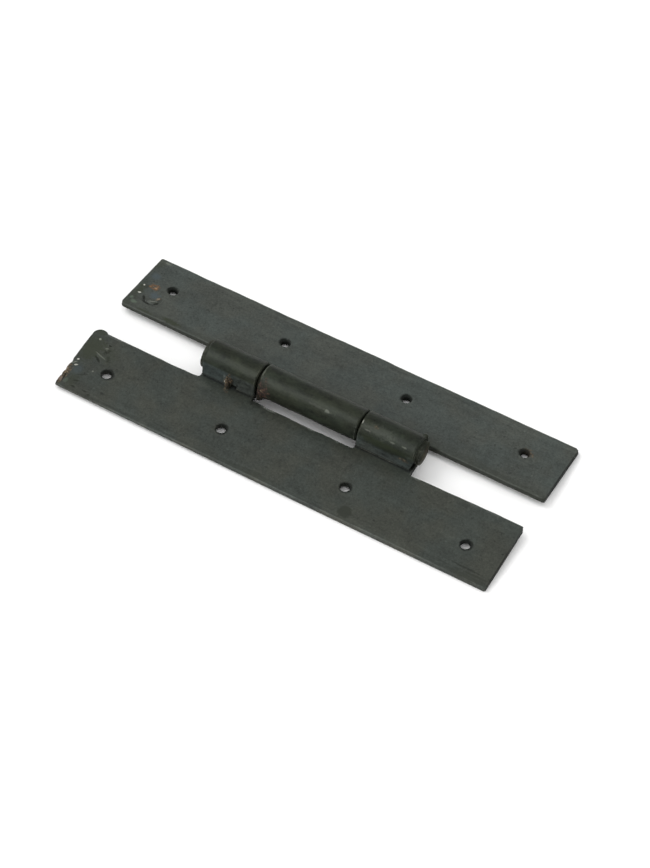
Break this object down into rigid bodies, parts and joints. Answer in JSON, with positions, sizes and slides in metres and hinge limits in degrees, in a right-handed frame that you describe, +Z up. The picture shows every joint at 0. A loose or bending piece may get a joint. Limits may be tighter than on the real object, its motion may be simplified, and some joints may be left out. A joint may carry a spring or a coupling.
{
  "type": "h hinge",
  "caption": "Flat iron H hinge: equal plate leaves with screw holes turn on a pin through rolled knuckles, and the pin's ends are hammered over.",
  "frame": {"origin": "on the ground below the middle of the hinge, which lies with its knuckles up on the outer long edges of its two leaves", "axes": "+X along the pin, +Y across to the leaf that carries the middle knuckle, +Z up"},
  "size_m": [0.2296, 0.0958, 0.0195],
  "materials": {
    "forged_iron": "satin"
  },
  "bodies": {
    "near_leaf": {"near_leaf": "forged_iron", "pin": "forged_iron"},
    "far_leaf": {"far_leaf": "forged_iron"}
  },
  "joints": [
    {"name": "leaf_hinge", "type": "hinge", "parent": "near_leaf", "child": "far_leaf", "pos_m": [0, 0, 0.01146], "axis": [1, 0, 0], "range_deg": [-95, 198]}
  ]
}
